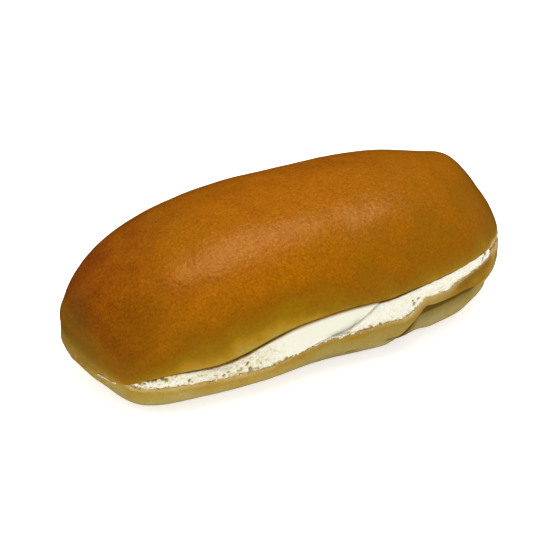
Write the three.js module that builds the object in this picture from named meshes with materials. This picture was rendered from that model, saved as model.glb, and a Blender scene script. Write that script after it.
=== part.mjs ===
// A cream bun: a long soft roll, slit along its near side and filled with whipped cream.
// Millimetres, +Z up, +X along the roll, -Y towards the slit. The origin is the middle of its base.

import * as THREE from 'three';
import { LoftGeometry } from 'three/addons/geometries/LoftGeometry.js';

// Driving dimensions of the loaf.
const LENGTH = 165;
const WIDTH = 77;
const HEIGHT = 56;
const WAIST = 19; // height of the widest line
const BASE_SHARE = 0.5; // flat base width over the full width
const DOME_POWER = 2.18; // superellipse power of the dome's section
const SIDE_POWER = 2.5; // the same for the side below the waist

// How square each outline is at the roll's two ends: 2 is round, more is squarer.
const DOME_ENDS = { left: 2.5, right: 4.0 };
const LIP_ENDS = { left: 5.5, right: 4.1 };
const SIDE_ENDS = { left: 6, right: 3.15 };
const BACK_ENDS = { left: 2.7, right: 3.3 };
const CROWN_ENDS = { left: 2.6, right: 4.1 };
const BASE_LIFT_FROM = { left: 0.78, right: 0.89 }; // share of the half length where the base curls up
const CORNER_CUT = 16.5; // length of the slanted near corner of the lower half at the left end
const CORNER_POWER = 6; // how sharply the slant meets the straight side
const SIDE_BAND = 9; // height below the waist over which the lip's outline becomes the side's
const DOME_BAND = 0.85; // share of the dome's turn over which the lip's outline becomes the dome's

// Where the back of the dome is fuller: at the shoulder near the right end, and a little in the middle.
const BACK_SWELLS = [
  { x: 72.5, run: 8, swell: 2.8 },
  { x: -14, run: 34, swell: 0.75 },
];

// The slit. A span is the stretch along the roll over which a change comes in.
const SLIT_HEIGHT_LEFT = 17.4; // lower lip on the left
const SLIT_RISE = 10.3; // how much higher the lower lip lies on the right
const SLIT_RISE_SPAN = { from: -10, to: 60 };
const SLIT_DIP = 3.0; // how much lower it lies at the left end
const SLIT_DIP_SPAN = { from: -78, to: -50 };
const SLIT_END_POWER = 12; // how late the lips draw together at the ends
const SLIT_DIPS = [ // where the lower lip sinks a little, or rises where the depth is below zero
  { x: -72, run: 5, depth: 0.8 },
  { x: -29, run: 12, depth: 2.0 },
  { x: 24, run: 9, depth: 1.4 },
  { x: 30, run: 4.5, depth: 2.2 },
  { x: 39, run: 4, depth: -1.1 },
  { x: 68, run: 7, depth: -0.3 },
];
const MOUTH_LEFT = 4.2; // opening towards the left end
const MOUTH_RIGHT = 2.0; // opening towards the right end
const MOUTH_PINCH = 1.3; // how much less it opens near the left end
const MOUTH_PINCH_SPAN = { from: -70, to: -57 };
const MOUTH_SPAN = { from: -12, to: 50 };
const MOUTH_GAPE = 7.0; // extra opening in the middle
const GAPE_OPENS = { from: -42, to: -4 };
const GAPE_CLOSES = { from: 0, to: 62 };
const SLIT_ROOT_Y = 14; // how far the slit runs in, past the middle of the roll
const SLIT_ROOT_GAP = 2.2;
const SLIT_ROOT_HEIGHT = 22;
const SLIT_END_WALL = 3; // bread left whole at each end
const SLIT_END_RUN = 12; // length over which the slit gets to its full depth
const UPPER_LIP_RADIUS = 3.4;
const UPPER_LIP_SHARE = 0.35; // largest share of the opening that the radius takes
const LOWER_LIP_RADIUS = 1.6;
const LOWER_LIP_SHARE = 0.6;
const LIP_SAG = 1.2; // how far the upper lip hangs down right of the middle
const LIP_SAG_X = 28;
const LIP_SAG_RUN = 12;

// The tucked fold on the near side of the lower half, at the right: a roll over a sunken pocket.
const FOLD_LOW = 7; // height where the crease starts at the underside
const FOLD_HIGH = 21.4; // height of its level stretch
const FOLD_CLIMB = { from: 26, to: 39.5 };
const FOLD_DEEPENS = { from: 25, to: 33 };
const FOLD_FADES = { from: 65, to: 80 };
const FOLD_DEPTH = 3.2;
const FOLD_STEP = { from: -0.5, to: 1.3 }; // way below the crease over which the pocket gets deep
const POCKET_FILLS = { from: 3, to: 17 }; // way below the crease over which it gets shallow again
const POCKET_FOOT = { from: 1, to: 6 }; // heights between which it runs out over the base
const FOLD_ROLL = 0.7; // swelling of the roll above the crease
const FOLD_ROLL_ABOVE = 2;
const FOLD_ROLL_HALF_WIDTH = 2;
const TUCK_POWER = 1.5; // how much closer the mesh lies just below the crease

// The lower half draws in a little under the middle.
const DRAWN_IN = 1.7;
const DRAWN_IN_X = 0;
const DRAWN_IN_RUN = 16;
const DRAWN_IN_HEIGHT = 6.5;
const DRAWN_IN_HALF_HEIGHT = 5.5;

// The cream.
const CREAM_GAP = 0.35;
const CREAM_SPAN = { from: -75.5, to: 71 };
const CREAM_END_RUN = 9; // length over which each end thins out
const CREAM_END_SHARE = 0.25; // share of the mouth left empty above and below the cream at its ends
const CREAM_EMPTY_LIMIT = 0.4; // largest share left empty on either side where the slit is nearly shut
const LIP_COVER = 1; // the point of the lower lip's round that the cream reaches over
const CREAM_BULGE = 1.0; // how far its front swells past the line between the lips
const CREAM_WAVE = 0.4;
const CREAM_WAVE_LENGTHS = [19.5, 46];
const TONGUE_BULGE = 0.9; // extra swelling of the smooth tongue
const TONGUE_SWELLS = { from: -14, to: -6 };
const TONGUE_EDGE = { low: -2, high: 24 }; // where its slanted edge meets the lower and the upper lip
const TONGUE_EDGE_BAND = { from: -0.1, to: 0.15 }; // softness of that edge, as a share of the mouth

// Fineness of the mesh.
const STATIONS = 54;
const POLE_ANGLE = 0.05; // the loft stops this near to each end, then a small cap closes it
const POINTS = {
  back: 11, // dome behind, from the waist to the crown
  dome: 13, // dome in front, from the crown to the upper lip
  lip: 4,
  face: 5, // each face of the slit
  root: 3,
  roll: 6, // near side from the lower lip to the fold
  tuck: 7, // near side from the fold to the base
  base: 4,
  under: 7, // far side from the base to the waist
  bulge: 8, // front of the cream
};

const HALF_LENGTH = LENGTH / 2;
const HALF_WIDTH = WIDTH / 2;

const { lerp, smoothstep, clamp } = THREE.MathUtils;

function ramp(value, span) {
  return smoothstep(value, span.from, span.to);
}

function bell(distance, halfWidth) {
  return Math.exp(-((distance / halfWidth) ** 2));
}

// Share of full size left at a station, for an outline as square as its ends say.
function taper(s, ends) {
  const power = s < 0 ? ends.left : ends.right;
  return Math.sqrt(Math.max(0, 1 - Math.abs(s) ** power));
}

// The lower half's near side has a slanted corner at the left end.
function sideTaper(s) {
  const round = taper(s, SIDE_ENDS);
  if (s > 0) {
    return round;
  }
  const slant = (1 + s) * HALF_LENGTH / CORNER_CUT;
  return (round ** -CORNER_POWER + slant ** -CORNER_POWER) ** (-1 / CORNER_POWER);
}

// Everything that stays the same over one section of the loaf.
function sectionSizes(s) {
  const liftFrom = s < 0 ? BASE_LIFT_FROM.left : BASE_LIFT_FROM.right;
  const lift = clamp((Math.abs(s) - liftFrom) / (1 - liftFrom), 0, 1);
  return {
    s,
    x: s * HALF_LENGTH / Math.cos(POLE_ANGLE),
    back: HALF_WIDTH * taper(s, BACK_ENDS),
    dome: HALF_WIDTH * taper(s, DOME_ENDS),
    lip: HALF_WIDTH * taper(s, LIP_ENDS),
    side: HALF_WIDTH * sideTaper(s),
    rise: (HEIGHT - WAIST) * taper(s, CROWN_ENDS),
    drop: WAIST * Math.sqrt(1 - lift * lift),
  };
}

// A point of a section's outer line: angle 90 degrees is the crown, 0 the waist, -90 the base's edge.
function outline(size, angle, halfWidth) {
  if (angle >= 0) {
    const across = Math.max(0, Math.cos(angle)) ** (2 / DOME_POWER);
    const up = Math.sin(angle) ** (2 / DOME_POWER);
    return new THREE.Vector2(halfWidth * across, WAIST + size.rise * up);
  }
  const across = Math.max(0, Math.cos(angle)) ** (2 / SIDE_POWER);
  const down = Math.sin(-angle) ** (2 / SIDE_POWER);
  return new THREE.Vector2(halfWidth * lerp(BASE_SHARE, 1, across), WAIST - size.drop * down);
}

// The angle at which the outer line passes a height.
function outlineAngle(size, z) {
  if (z >= WAIST) {
    const up = Math.min(1, (z - WAIST) / size.rise);
    return Math.asin(up ** (DOME_POWER / 2));
  }
  const down = Math.min(1, (WAIST - z) / size.drop);
  return -Math.asin(down ** (SIDE_POWER / 2));
}

// The near side above the slit goes from the rounder dome to the squarer lip.
function upperFront(size, angle) {
  const lipShare = 1 - smoothstep(Math.sin(angle), 0, DOME_BAND);
  const point = outline(size, angle, lerp(size.dome, size.lip, lipShare));
  return new THREE.Vector2(-point.x, point.y);
}

// The far side of the dome, with its fuller parts.
function domeBack(size, angle) {
  const point = outline(size, angle, size.back);
  const full = BACK_SWELLS.reduce((sum, part) => sum + part.swell * bell(size.x - part.x, part.run), 0);
  const swell = full * Math.sin(angle) * Math.sin(2 * angle);
  return new THREE.Vector2(point.x + swell, point.y + swell);
}

function foldHeight(x) {
  return lerp(FOLD_LOW, FOLD_HIGH, ramp(x, FOLD_CLIMB));
}

// How far the fold moves the near side out at a point.
function foldOffset(x, z) {
  const share = ramp(x, FOLD_DEEPENS) * (1 - ramp(x, FOLD_FADES));
  const below = foldHeight(x) - z;
  const sunken = ramp(below, FOLD_STEP) * (1 - ramp(below, POCKET_FILLS));
  const pocket = FOLD_DEPTH * sunken * ramp(z, POCKET_FOOT);
  const roll = FOLD_ROLL * bell(below + FOLD_ROLL_ABOVE, FOLD_ROLL_HALF_WIDTH);
  return share * (roll - pocket);
}

// How far the side is drawn in at a point.
function drawnIn(x, z) {
  return DRAWN_IN * bell(x - DRAWN_IN_X, DRAWN_IN_RUN) * bell(z - DRAWN_IN_HEIGHT, DRAWN_IN_HALF_HEIGHT);
}

function lowerFront(size, angle) {
  const { y: height } = outline(size, angle, size.side);
  const lipShare = smoothstep(height, WAIST - SIDE_BAND, WAIST);
  const point = outline(size, angle, lerp(size.side, size.lip, lipShare));
  const out = foldOffset(size.x, point.y) - drawnIn(size.x, point.y);
  return new THREE.Vector2(-point.x - out, point.y);
}

// Heights of the two lips, drawn together towards the ends with the loaf.
function lipHeights(size) {
  const { x, s } = size;
  const dip = SLIT_DIP * (1 - ramp(x, SLIT_DIP_SPAN));
  const line = SLIT_HEIGHT_LEFT - dip + SLIT_RISE * ramp(x, SLIT_RISE_SPAN);
  const sunk = SLIT_DIPS.reduce((sum, part) => sum + part.depth * bell(x - part.x, part.run), 0);
  const gape = MOUTH_GAPE * ramp(x, GAPE_OPENS) * (1 - ramp(x, GAPE_CLOSES));
  const pinch = MOUTH_PINCH * (1 - ramp(x, MOUTH_PINCH_SPAN));
  const open = lerp(MOUTH_LEFT, MOUTH_RIGHT, ramp(x, MOUTH_SPAN)) + gape - pinch;
  const sag = LIP_SAG * bell(x - LIP_SAG_X, LIP_SAG_RUN);
  const squeeze = Math.sqrt(1 - s ** SLIT_END_POWER);
  const low = WAIST + (line - sunk - WAIST) * squeeze;
  const high = WAIST + (line + open - sag - WAIST) * squeeze;
  return { low, high };
}

// The whole slit in one section: where its lips leave the outer line, and its faces as matched pairs.
function slitShape(size) {
  const lips = lipHeights(size);
  const open = lips.high - lips.low;
  const upperRadius = Math.min(UPPER_LIP_RADIUS, UPPER_LIP_SHARE * open);
  const lowerRadius = Math.min(LOWER_LIP_RADIUS, LOWER_LIP_SHARE * open);
  const upperAngle = outlineAngle(size, lips.high + upperRadius / 2);
  const lowerAngle = outlineAngle(size, lips.low - lowerRadius);
  const upperStart = upperFront(size, upperAngle);
  const lowerStart = lowerFront(size, lowerAngle);
  const upperArc = [];
  const lowerArc = [];
  for (let i = 1; i <= POINTS.lip; i++) {
    const turn = i / POINTS.lip * Math.PI / 2;
    const out = 1 - Math.cos(turn);
    const along = Math.sin(turn);
    upperArc.push(new THREE.Vector2(upperStart.x + upperRadius * out, upperStart.y - upperRadius * along));
    lowerArc.push(new THREE.Vector2(lowerStart.x + lowerRadius * out, lowerStart.y + lowerRadius * along));
  }
  const rootY = SLIT_ROOT_Y * size.back / HALF_WIDTH;
  const rootZ = (SLIT_ROOT_HEIGHT + (lips.high + lips.low) / 2) / 2;
  const upperRoot = new THREE.Vector2(rootY, rootZ + SLIT_ROOT_GAP / 2);
  const lowerRoot = new THREE.Vector2(rootY, rootZ - SLIT_ROOT_GAP / 2);
  const upperFace = [];
  const lowerFace = [];
  for (let i = 1; i <= POINTS.face; i++) {
    upperFace.push(upperArc.at(-1).clone().lerp(upperRoot, i / POINTS.face));
    lowerFace.push(lowerArc.at(-1).clone().lerp(lowerRoot, i / POINTS.face));
  }
  const root = [];
  for (let i = 1; i <= POINTS.root; i++) {
    const turn = Math.PI * (0.5 - i / (POINTS.root + 1));
    const radius = SLIT_ROOT_GAP / 2;
    root.push(new THREE.Vector2(rootY + radius * Math.cos(turn), rootZ + radius * Math.sin(turn)));
  }
  const lining = [...upperArc, ...upperFace, ...root, ...lowerFace.reverse(), ...lowerArc.reverse()];
  return { upperAngle, lowerAngle, lining: shutEnds(size, lining, upperStart, lowerStart) };
}

// Towards the ends the slit gets shallower until its lining lies on the outer line.
function shutEnds(size, lining, upperStart, lowerStart) {
  const inner = HALF_LENGTH - Math.abs(size.x) - SLIT_END_WALL;
  const depth = smoothstep(inner, 0, SLIT_END_RUN);
  return lining.map((point, i) => {
    const share = (i + 1) / (lining.length + 1);
    const z = lerp(upperStart.y, lowerStart.y, share);
    const angle = outlineAngle(size, z);
    const shut = upperFront(size, angle).lerp(lowerFront(size, angle), share);
    return shut.lerp(point, depth);
  });
}

// The bread's closed section, from the waist at the back over the crown to the slit and under the base.
function breadSection(s) {
  const size = sectionSizes(s);
  const slit = slitShape(size);
  const points = [];
  for (let i = 0; i < POINTS.back; i++) {
    points.push(domeBack(size, i / POINTS.back * Math.PI / 2));
  }
  for (let i = 0; i <= POINTS.dome; i++) {
    points.push(upperFront(size, lerp(Math.PI / 2, slit.upperAngle, i / POINTS.dome)));
  }
  points.push(...slit.lining);
  const foldAngle = outlineAngle(size, lerp(WAIST - size.drop, WAIST, foldHeight(size.x) / WAIST));
  for (let i = 0; i <= POINTS.roll; i++) {
    points.push(lowerFront(size, lerp(slit.lowerAngle, foldAngle, i / POINTS.roll)));
  }
  for (let i = 1; i <= POINTS.tuck; i++) {
    points.push(lowerFront(size, lerp(foldAngle, -Math.PI / 2, (i / POINTS.tuck) ** TUCK_POWER)));
  }
  const front = points.at(-1);
  const behind = outline(size, -Math.PI / 2, size.back);
  for (let i = 1; i < POINTS.base; i++) {
    points.push(front.clone().lerp(behind, i / POINTS.base));
  }
  for (let i = 0; i < POINTS.under; i++) {
    points.push(outline(size, -Math.PI / 2 * (1 - i / POINTS.under), size.back));
  }
  return points.map((point) => new THREE.Vector3(size.x, point.x, point.y));
}

// How far the cream's front swells at a place along the roll, from 0 at the upper lip to 1 at the lower.
function creamBulge(x, down) {
  const [short, long] = CREAM_WAVE_LENGTHS.map((length) => 2 * Math.PI * x / length);
  const edge = (TONGUE_EDGE.high - x) / (TONGUE_EDGE.high - TONGUE_EDGE.low);
  const tongue = ramp(x, TONGUE_SWELLS) * ramp(edge - down, TONGUE_EDGE_BAND);
  return CREAM_BULGE + CREAM_WAVE * Math.sin(short) * Math.sin(long + 1) + TONGUE_BULGE * tongue;
}

// The cream fills the slit a hair inside its faces, and swells at the mouth.
function creamSection(s) {
  const size = sectionSizes(s);
  const { lining } = slitShape(size);
  const last = lining.length - 1;
  const mouth = POINTS.lip - 1;
  const toEnd = Math.min(size.x - CREAM_SPAN.from, CREAM_SPAN.to - size.x);
  const fullness = smoothstep(toEnd, 0, CREAM_END_RUN);
  const thinning = CREAM_END_SHARE * (1 - fullness);
  const upper = [];
  const lower = [];
  for (let i = LIP_COVER; i < mouth; i++) {
    const turn = (i + 1) / POINTS.lip * Math.PI / 2;
    const clear = new THREE.Vector2(-Math.cos(turn), Math.sin(turn)).multiplyScalar(CREAM_GAP);
    lower.push(lining[last - i].clone().add(clear).lerp(lining[i], thinning));
  }
  for (let i = mouth; i < POINTS.lip + POINTS.face; i++) {
    const above = lining[i];
    const below = lining[last - i];
    const share = Math.min(CREAM_EMPTY_LIMIT, thinning + CREAM_GAP / above.distanceTo(below));
    upper.push(above.clone().lerp(below, share));
    lower.push(below.clone().lerp(above, share));
  }
  const middle = upper[0].clone().lerp(lower[0], 0.5);
  const half = upper[0].clone().sub(middle);
  const outward = new THREE.Vector2(-half.y, half.x).normalize();
  const points = [...upper].reverse();
  for (let i = 1; i < POINTS.bulge; i++) {
    const turn = Math.PI * i / POINTS.bulge;
    const swell = fullness * creamBulge(size.x, i / POINTS.bulge) * Math.sin(turn);
    points.push(middle.clone().addScaledVector(half, Math.cos(turn)).addScaledVector(outward, swell));
  }
  points.push(...lower);
  return points.map((point) => new THREE.Vector3(size.x, point.x, point.y));
}

function stations() {
  const places = [];
  for (let i = 0; i < STATIONS; i++) {
    places.push(-Math.cos(lerp(POLE_ANGLE, Math.PI - POLE_ANGLE, i / (STATIONS - 1))));
  }
  return places;
}

function loft(name, sections, material) {
  const mesh = new THREE.Mesh(new LoftGeometry(sections, { capStart: true, capEnd: true }), material);
  mesh.name = name;
  return mesh;
}

const crust = new THREE.MeshStandardMaterial({ color: 0xb5701c, roughness: 0.5, metalness: 0 });
const whipped = new THREE.MeshStandardMaterial({ color: 0xf3ead8, roughness: 0.6, metalness: 0 });

const places = stations();
const creamPlaces = places.filter((s) => {
  const x = s * HALF_LENGTH;
  return x > CREAM_SPAN.from && x < CREAM_SPAN.to;
});

const creamBun = new THREE.Group();
creamBun.add(loft('bread', places.map(breadSection), crust));
creamBun.add(loft('cream', creamPlaces.map(creamSection), whipped));

export default creamBun;
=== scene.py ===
"""A cream bun: a long soft roll, slit along its near side and filled with whipped cream.

The file is laid out as an add-on and run as a script. Places and sizes in the code are in
millimetres, in the frame of the solids: +Z up, +X along the roll, -Y towards the slit.
"""
import math
import random
from bisect import bisect

import bmesh
import bpy
from bpy.props import FloatProperty, FloatVectorProperty, IntProperty, PointerProperty
from bpy.types import Operator, Panel, PropertyGroup
from mathutils import Euler, Matrix, Vector, noise
from mathutils.bvhtree import BVHTree


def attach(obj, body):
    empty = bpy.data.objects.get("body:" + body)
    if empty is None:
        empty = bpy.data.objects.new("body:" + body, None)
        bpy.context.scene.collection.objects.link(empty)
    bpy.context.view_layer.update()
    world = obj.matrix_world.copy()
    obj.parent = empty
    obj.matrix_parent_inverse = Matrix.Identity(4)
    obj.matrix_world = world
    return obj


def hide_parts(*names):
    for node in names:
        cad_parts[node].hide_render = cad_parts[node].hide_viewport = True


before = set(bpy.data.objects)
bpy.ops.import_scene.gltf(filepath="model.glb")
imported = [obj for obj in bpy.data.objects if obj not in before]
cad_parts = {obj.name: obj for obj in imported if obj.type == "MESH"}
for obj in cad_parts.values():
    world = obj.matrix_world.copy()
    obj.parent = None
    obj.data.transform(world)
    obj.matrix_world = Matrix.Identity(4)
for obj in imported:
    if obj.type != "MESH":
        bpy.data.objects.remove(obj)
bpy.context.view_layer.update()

bl_info = {
    "name": "Cream bun",
    "version": (1, 0, 0),
    "blender": (4, 5, 0),
    "location": "View3D > Sidebar > Cream bun",
    "description": "Dresses a filled roll: baked crust, whipped cream, loose crumbs and a plain stage",
    "category": "Object",
}

MM = 0.001
SAME_PLACE = 1e-6  # metres
ROUNDING_LEVELS = 2
SEED = 19

# The fold on the near side at the right, as the solids have it: a crease that climbs, then runs level.
FOLD_LOW = 7.0
FOLD_HIGH = 21.4
FOLD_CLIMB = (26, 39.5)
FOLD_DEEPENS = (25, 33)
FOLD_FADES = (62, 74)

# How far the crust is baked above the slit, at the left end, left of the middle and at the right:
# height over the lip, then level.
ABOVE_LIP = (
    ((-1, 0.34), (2, 0.43), (6, 0.52), (10, 0.74)),
    # The middle's pale first stop is the upper lip's thin edge, and is lighter partly as a painted highlight
    # where that edge catches the light.
    ((-1, 0.17), (2.5, 0.27), (5, 0.35), (7.5, 0.43), (12, 0.53), (17, 0.66), (24, 0.76)),
    ((-1, 0.28), (1.5, 0.40), (3.5, 0.47), (6, 0.53), (12, 0.57), (20, 0.62), (32, 0.76)),
)

# Small creases of the near side: from x and z to x and z, then depth and half width.
CREASES = (
    ((23.0, 10.6), (30.5, 9.2), 0.5, 0.7),
    ((25.5, 7.6), (32.0, 6.6), 0.4, 0.6),
    ((8.5, 7.4), (14.5, 7.8), 0.45, 0.7),
    ((70.0, 19.6), (74.0, 17.5), 0.6, 0.9),
    ((56.0, 19.2), (66.0, 16.0), 0.35, 0.9),
)

# Where the lower lip is swollen or sags: x, half width, height.
LOWER_LIP_SWELLS = ((1, 8, 2.0), (-50, 14, -0.7), (-21, 5, -1.0), (39.5, 3, 1.0), (33, 3.5, -1.2))

# How much of the pale cut shows along the lower lip: x, then share.
CUT_RIM = ((-34, 0.8), (-16, 0.45), (22, 0.45), (34, 1.0), (50, 1.0), (60, 0.9))

# The smooth tongue of cream: where it starts, and its slanted edge as x and how far down the mouth.
TONGUE_STARTS = (-20, -9)
TONGUE_EDGE = (
    (-12, 1.05), (-9, 0.93), (-3, 0.89), (3, 0.87), (9, 0.74), (13.5, 0.48), (21.5, -0.02), (25, -0.2))

# The larger holes in the cream: x, how far down the mouth, radius.
HOLES = (
    (-28.4, 0.82, 1.05), (-29.4, 0.42, 0.75), (-31.6, 0.66, 0.6), (-36.6, 0.62, 0.55), (-38.2, 0.8, 0.6),
    (-50.6, 0.72, 0.8), (-58.2, 0.28, 0.7), (-59.4, 0.12, 0.9), (-61.6, 0.04, 0.7), (-62.6, 0.1, 0.55),
    (-63.9, 0.06, 0.7), (-65.2, 0.25, 0.6), (-66.6, 0.15, 1.0),
    (34.0, 0.68, 0.7), (35.4, 0.55, 0.55), (33.4, 0.5, 0.5), (66.8, 0.3, 0.7), (65.2, 0.6, 0.7),
    (20.6, 0.96, 0.7), (17.2, 1.0, 0.6), (14.6, 0.98, 0.5),
    (-17.6, 0.95, 0.6), (-15.2, 0.94, 0.8), (-13.6, 0.98, 0.5), (-11.6, 0.97, 0.6), (-10.2, 0.98, 0.5),
)


def linear(hex_colour):
    """An sRGB hex value as a linear colour with full opacity."""
    shares = [int(hex_colour[i:i + 2], 16) / 255 for i in (1, 3, 5)]
    return [s / 12.92 if s <= 0.04045 else ((s + 0.055) / 1.055) ** 2.4 for s in shares] + [1.0]


def mix(a, b, share):
    return a + (b - a) * share


def ramp(value, start, end):
    share = min(1.0, max(0.0, (value - start) / (end - start)))
    return share * share * (3 - 2 * share)


def steps(value, stops):
    """A level that runs straight from stop to stop, each a place and the level there."""
    for (place, level), (next_place, next_level) in zip(stops, stops[1:]):
        if value < next_place:
            return mix(level, next_level, max(0.0, value - place) / (next_place - place))
    return stops[-1][1]


def bell(distance, half_width):
    return math.exp(-((distance / half_width) ** 2))


def ripple(place, length, shift=0.0):
    """Smooth noise from about -1 to 1, whose bumps are about one length apart."""
    return noise.noise(place / length + Vector((shift, -shift, 2 * shift)))


def read_mouth():
    """The edges of the slit's lips along the roll, read from the solids: x, the lower lip, the upper lip."""
    same_section, front_depth, lip_height, lip_depth = 0.02, 5.5, 2.5, 1.2
    points = {name: [v.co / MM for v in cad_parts[name].data.vertices] for name in ("bread", "cream")}
    rows = []
    for x in sorted({round(p.x, 2) for p in points["cream"]}):
        bread, cream = (
            [p for p in points[name] if abs(p.x - x) < same_section] for name in ("bread", "cream"))
        front = min(p.y for p in cream)
        heights = [p.z for p in cream if p.y < front + front_depth]
        middle, reach = (min(heights) + max(heights)) / 2, (max(heights) - min(heights)) / 2 + lip_height
        lips = []
        for side in (-1, 1):
            lip = [p for p in bread if p.y < 0 and 0 < side * (p.z - middle) < reach]
            edge = min(p.y for p in lip) + lip_depth
            lips.append(min((p for p in lip if p.y < edge), key=lambda p: side * p.z))
        rows.append((x, *lips))
    return rows


MOUTH = read_mouth()
MOUTH_PLACES = [row[0] for row in MOUTH]


def lip_shift(x):
    """How far the relief lifts the lower and the upper lip: swollen here and there, shut at both ends."""
    swell = sum(height * bell(x - middle, half_width) for middle, half_width, height in LOWER_LIP_SWELLS)
    gape = 1.2 * ramp(x, 24, 36) * (1 - ramp(x, 66, 71))
    shut_right = 0.6 * ramp(x, 69, 73) * (1 - ramp(x, 77, 81))
    left_end = 1 - ramp(-x, 74, 78)
    past_left_end = 1.4 * ramp(-x, 74.3, 76.2) * (1 - ramp(-x, 77.5, 80))
    lower = swell + shut_right + 0.9 * ramp(-x, 68.6, 71.2) * left_end + past_left_end
    upper = gape - shut_right - 1.8 * ramp(-x, 65, 71) * left_end
    return lower, upper


def mouth(x):
    """The lower and the upper lip's edge at a place along the roll."""
    i = min(max(bisect(MOUTH_PLACES, x), 1), len(MOUTH) - 1)
    before, after = MOUTH[i - 1], MOUTH[i]
    share = min(1.0, max(0.0, (x - before[0]) / (after[0] - before[0])))
    lower, upper = lip_shift(x)
    low = before[1].lerp(after[1], share) + Vector((0, 0, lower))
    high = before[2].lerp(after[2], share) + Vector((0, 0, upper))
    return low, high


def shift_lips(p):
    """A place on the solid, moved with the lip that it is near, or drawn together between the two."""
    low, high = mouth(p.x)
    lower, upper = lip_shift(p.x)
    from_low, from_high = low.z - lower - p.z, p.z - high.z + upper
    share = min(1.0, max(0.0, from_low / (from_low + from_high)))
    lift = mix(lower * (1 - ramp(from_low, 1, 10)), upper * (1 - ramp(from_high, 1, 14)), share)
    return p + Vector((0, 0, lift * (1 - ramp(p.y, -20, 5))))


class CrustSettings(PropertyGroup):
    dark: FloatVectorProperty(
        name="Dark crust", description="Most baked crust, at the far left end",
        subtype="COLOR", size=4, min=0, max=1, default=linear("#7A3900"))
    golden: FloatVectorProperty(
        name="Golden crust", description="Crust over the crown",
        subtype="COLOR", size=4, min=0, max=1, default=linear("#9C5A00"))
    olive: FloatVectorProperty(
        name="Olive crust", description="Less baked crust just above the slit",
        subtype="COLOR", size=4, min=0, max=1, default=linear("#876200"))
    brown: FloatVectorProperty(
        name="Brown crust", description="Evenly baked crust of the front and the right end",
        subtype="COLOR", size=4, min=0, max=1, default=linear("#865200"))
    amber: FloatVectorProperty(
        name="Amber crust", description="Lightly baked crust of the lips and of the fold's roll",
        subtype="COLOR", size=4, min=0, max=1, default=linear("#9E7210"))
    tan: FloatVectorProperty(
        name="Tan crust", description="Lightly baked side under the slit",
        subtype="COLOR", size=4, min=0, max=1, default=linear("#A18632"))
    pale: FloatVectorProperty(
        name="Pale crust", description="Barely baked skin near the base",
        subtype="COLOR", size=4, min=0, max=1, default=linear("#A49A66"))
    crumb: FloatVectorProperty(
        name="Crumb", description="Torn bread inside the slit",
        subtype="COLOR", size=4, min=0, max=1, default=linear("#CBB480"))
    # Painted shade: the colour the crust is darkened towards in its creases, under the fold's roll, at the
    # left end, on the lower side and the crown's shoulders, under the upper lip and where the foot turns
    # under.
    crease: FloatVectorProperty(
        name="Crease", description="Dough deep in a crease",
        subtype="COLOR", size=4, min=0, max=1, default=linear("#5E4404"))
    gloss: FloatVectorProperty(
        name="Gloss tint", description="Warm tint of the crust's sheen",
        subtype="COLOR", size=4, min=0, max=1, default=linear("#FFC488"))
    unevenness: FloatProperty(
        name="Unevenness", description="Height of the slow swells of the crust",
        unit="LENGTH", default=0.35 * MM, min=0, max=2 * MM)
    blotch: FloatProperty(
        name="Blotch size", description="Distance between patches of darker and lighter bake",
        unit="LENGTH", default=9 * MM, min=1 * MM, max=60 * MM)
    grain: FloatProperty(
        name="Grain size", description="Distance between the fine light and dark grains of the skin",
        unit="LENGTH", default=0.85 * MM, min=0.3 * MM, max=6 * MM)
    wrinkle: FloatProperty(
        name="Wrinkle size", description="Distance between the shallow wrinkles that break up the sheen",
        unit="LENGTH", default=1.7 * MM, min=0.3 * MM, max=10 * MM)
    pore: FloatProperty(
        name="Pore spacing", description="Distance between pores and pale specks",
        unit="LENGTH", default=1.5 * MM, min=0.5 * MM, max=10 * MM)


class CreamSettings(PropertyGroup):
    colour: FloatVectorProperty(
        name="Cream", description="Whipped cream in full light",
        subtype="COLOR", size=4, min=0, max=1, default=linear("#E0DECA"))
    rough: FloatVectorProperty(
        name="Rough cream", description="Whipped cream where it is rough and airy",
        subtype="COLOR", size=4, min=0, max=1, default=linear("#ECEADA"))
    hollow: FloatVectorProperty(
        name="Hollow", description="Crumb that shows in the holes of the cream",
        subtype="COLOR", size=4, min=0, max=1, default=linear("#AA8C04"))
    # Painted shade: the brown of the cream's top edge where the upper lip shades it.
    under: FloatVectorProperty(
        name="Under the lip", description="Cream stained with crumb where it goes in under the upper lip",
        subtype="COLOR", size=4, min=0, max=1, default=linear("#A3760C"))
    shade: FloatVectorProperty(
        name="Shade", description="Cream in the shade of the tongue's edge",
        subtype="COLOR", size=4, min=0, max=1, default=linear("#77765F"))
    speck: FloatVectorProperty(
        name="Speck", description="Fine crumb smeared into the cream",
        subtype="COLOR", size=4, min=0, max=1, default=linear("#C8B56C"))
    lump: FloatProperty(
        name="Lump height", description="Height of the rough lumps of the cream",
        unit="LENGTH", default=0.46 * MM, min=0, max=2 * MM)
    bulge: FloatProperty(
        name="Bulge", description="How far the cream swells out between the lips",
        unit="LENGTH", default=0.7 * MM, min=0, max=4 * MM)
    tongue: FloatProperty(
        name="Tongue", description="How far the smooth tongue stands out over the rough cream",
        unit="LENGTH", default=0.75 * MM, min=0, max=3 * MM)
    foam: FloatProperty(
        name="Foam size", description="Distance between the finest bubbles",
        unit="LENGTH", default=0.8 * MM, min=0.2 * MM, max=4 * MM)
    fleck: FloatProperty(
        name="Fleck size", description="Distance between the flecks of smeared crumb",
        unit="LENGTH", default=1.6 * MM, min=0.2 * MM, max=6 * MM)


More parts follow.
